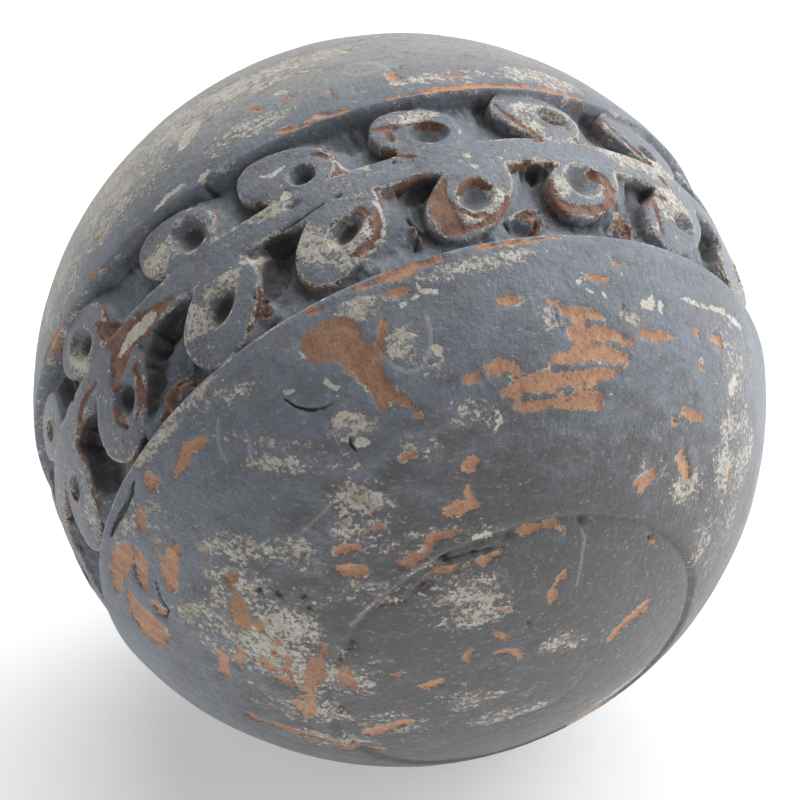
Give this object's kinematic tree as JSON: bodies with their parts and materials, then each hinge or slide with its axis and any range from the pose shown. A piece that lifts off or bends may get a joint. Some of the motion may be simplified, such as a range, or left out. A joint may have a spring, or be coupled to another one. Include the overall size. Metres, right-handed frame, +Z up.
{
  "type": "decorative sphere",
  "caption": "Turned wooden ball with a carved band of leaves in two rows, painted and worn, resting on a small flat spot.",
  "frame": {"origin": "centre of the footprint on the resting plane, under the middle of the flat spot", "axes": "+Z up, out of the resting plane; +X to the viewer's right and -Y towards the viewer; the lathe axis points down by 20 degrees, towards the viewer and to the right"},
  "size_m": [0.1198, 0.1198, 0.1187],
  "materials": {
    "painted_wood": "matt blue-grey paint over a cream ground, worn through to red-brown wood"
  },
  "bodies": {
    "root": {"carved_ball": "painted_wood"}
  },
  "joints": []
}
